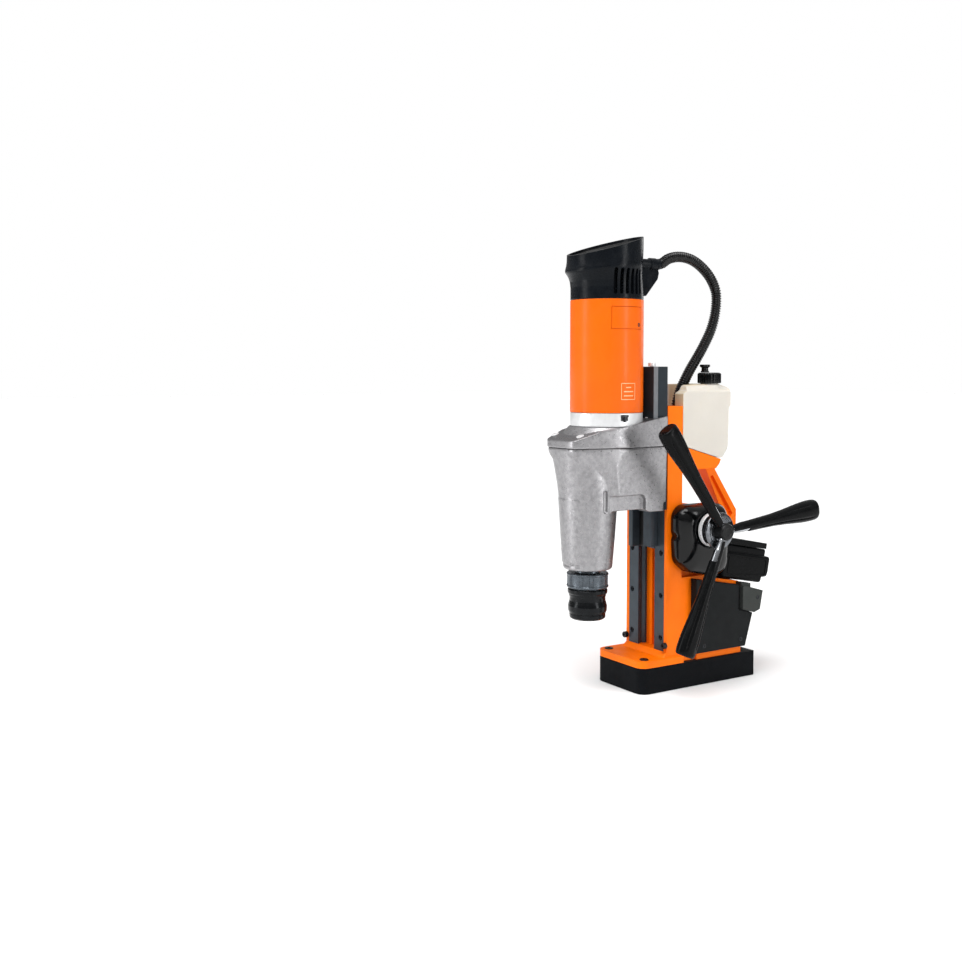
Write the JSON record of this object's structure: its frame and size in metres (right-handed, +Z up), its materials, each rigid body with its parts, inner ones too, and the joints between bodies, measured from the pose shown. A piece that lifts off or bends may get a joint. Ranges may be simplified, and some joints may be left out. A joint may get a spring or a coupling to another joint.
{
  "type": "magnetic drill press",
  "caption": "Cordless magnetic core drill press: magnet foot, cast stand with dovetail rails, rack feed with spoked levers, geared motor, quick-change chuck, coolant tank and battery pack.",
  "frame": {"origin": "centre of the magnet foot's underside", "axes": "+Z up the column, -Y towards the spindle side, +X towards the side that carries the feed levers"},
  "size_m": [0.1359, 0.3172, 0.5176],
  "materials": {
    "foot_coat": "satin",
    "steel": "satin",
    "orange_paint": "satin",
    "orange_plastic": "satin",
    "rail_steel": "satin",
    "dark_steel": "satin",
    "black_plastic": "satin",
    "graphite_plastic": "matte",
    "bright_metal": "satin",
    "slide_alu": "satin",
    "cast_alu": "satin",
    "board": "satin",
    "green_plastic": "satin",
    "red_plastic": "satin",
    "tank_plastic": "satin",
    "hose_black": "matte",
    "chrome": "polished"
  },
  "bodies": {
    "stand": {"magnet_foot": "foot_coat", "magnet_core": "steel", "stand_column": "orange_paint", "guide_rail_left": "rail_steel", "guide_rail_right": "rail_steel", "rail_screw_left_1": "dark_steel", "rail_screw_left_2": "dark_steel", "rail_screw_left_3": "dark_steel", "rail_screw_right_1": "dark_steel", "rail_screw_right_2": "dark_steel", "rail_screw_right_3": "dark_steel", "stop_screw_left": "dark_steel", "stop_screw_right": "dark_steel", "foot_screw_left": "dark_steel", "foot_screw_right": "dark_steel", "feed_housing": "black_plastic", "side_cap": "black_plastic", "battery_dock": "black_plastic", "feed_ring": "bright_metal", "control_housing": "graphite_plastic", "control_cover": "graphite_plastic", "control_panel": "graphite_plastic", "control_board": "board", "tank_holder": "orange_plastic", "carry_handle": "orange_plastic", "coolant_tank": "tank_plastic", "cable_conduit": "hose_black"},
    "motor_carriage": {"carriage": "dark_steel", "gear_rack": "steel", "motor_slide": "slide_alu", "slide_clamp_screw": "bright_metal", "gearbox_housing": "cast_alu", "gearbox_cover": "cast_alu", "neck_ring": "bright_metal", "motor_housing": "orange_plastic", "brush_cover": "orange_plastic", "motor_stator": "steel", "motor_cap": "black_plastic", "top_grille": "black_plastic", "conduit_gland": "black_plastic", "spindle_bearing": "bright_metal"},
    "feed_lever": {"feed_shaft_hub": "dark_steel", "lever_rod_1": "chrome", "lever_rod_2": "chrome", "lever_rod_3": "chrome", "lever_grip_1": "black_plastic", "lever_grip_2": "black_plastic", "lever_grip_3": "black_plastic"},
    "spindle": {"spindle_shaft": "steel", "chuck_body": "dark_steel"},
    "chuck_sleeve": {"chuck_sleeve": "dark_steel"},
    "rotor": {"motor_rotor": "steel"},
    "idler": {"idler_gear": "steel"},
    "tank_cap": {"tank_cap": "black_plastic"},
    "tank_nozzle": {"tank_nozzle": "black_plastic"},
    "battery": {"battery_pack": "black_plastic"},
    "battery_latch": {"battery_latch": "graphite_plastic"},
    "magnet_button": {"magnet_button": "graphite_plastic"},
    "start_button": {"start_button": "green_plastic"},
    "stop_button": {"stop_button": "red_plastic"}
  },
  "joints": [
    {"name": "feed_slide", "type": "slide", "parent": "stand", "child": "motor_carriage", "axis": [0, 0, 1], "range_m": [-0.08, 0.01], "deforming": ["cable_conduit"]},
    {"name": "feed_lever_turn", "type": "hinge", "parent": "stand", "child": "feed_lever", "pos_m": [0.088, -0.0025, 0.1845], "axis": [1, 0, 0], "range_deg": [-44, 341]},
    {"name": "spindle_spin", "type": "hinge", "parent": "motor_carriage", "child": "spindle", "pos_m": [0, -0.132, 0.2], "axis": [0, 0, 1], "continuous": true},
    {"name": "rotor_spin", "type": "hinge", "parent": "motor_carriage", "child": "rotor", "pos_m": [0, -0.1065, 0.35], "axis": [0, 0, 1], "continuous": true},
    {"name": "idler_spin", "type": "hinge", "parent": "motor_carriage", "child": "idler", "pos_m": [0.02036, -0.1126, 0.26], "axis": [0, 0, 1], "continuous": true},
    {"name": "chuck_sleeve_slide", "type": "slide", "parent": "spindle", "child": "chuck_sleeve", "axis": [0, 0, -1], "range_m": [0, 0.004], "stiffness_N_per_m": 900, "springref_m": -0.003},
    {"name": "tank_cap_turn", "type": "hinge", "parent": "stand", "child": "tank_cap", "pos_m": [0.021, 0.03, 0.356], "axis": [0, 0, 1], "range_deg": [0, 540]},
    {"name": "tank_nozzle_pull", "type": "slide", "parent": "tank_cap", "child": "tank_nozzle", "axis": [0, 0, 1], "range_m": [0, 0.003]},
    {"name": "battery_slide", "type": "slide", "parent": "stand", "child": "battery", "axis": [0, 0.9829, -0.184], "range_m": [0, 0.085]},
    {"name": "battery_latch_press", "type": "slide", "parent": "battery", "child": "battery_latch", "axis": [0, -0.9829, 0.184], "range_m": [0, 0.002], "stiffness_N_per_m": 400, "springref_m": -0.0015},
    {"name": "magnet_button_press", "type": "slide", "parent": "stand", "child": "magnet_button", "axis": [1, 0, 0], "range_m": [0, 0.0015], "stiffness_N_per_m": 400, "springref_m": -0.0015},
    {"name": "start_button_press", "type": "slide", "parent": "stand", "child": "start_button", "axis": [1, 0, 0], "range_m": [0, 0.0015], "stiffness_N_per_m": 400, "springref_m": -0.0015},
    {"name": "stop_button_press", "type": "slide", "parent": "stand", "child": "stop_button", "axis": [1, 0, 0], "range_m": [0, 0.0015], "stiffness_N_per_m": 400, "springref_m": -0.0015}
  ],
  "couplings": [
    {"joint": "feed_lever_turn", "follows": "feed_slide", "rad_per_m": -74.074},
    {"joint": "rotor_spin", "follows": "spindle_spin", "ratio": 6.6},
    {"joint": "idler_spin", "follows": "spindle_spin", "ratio": -2.75}
  ]
}
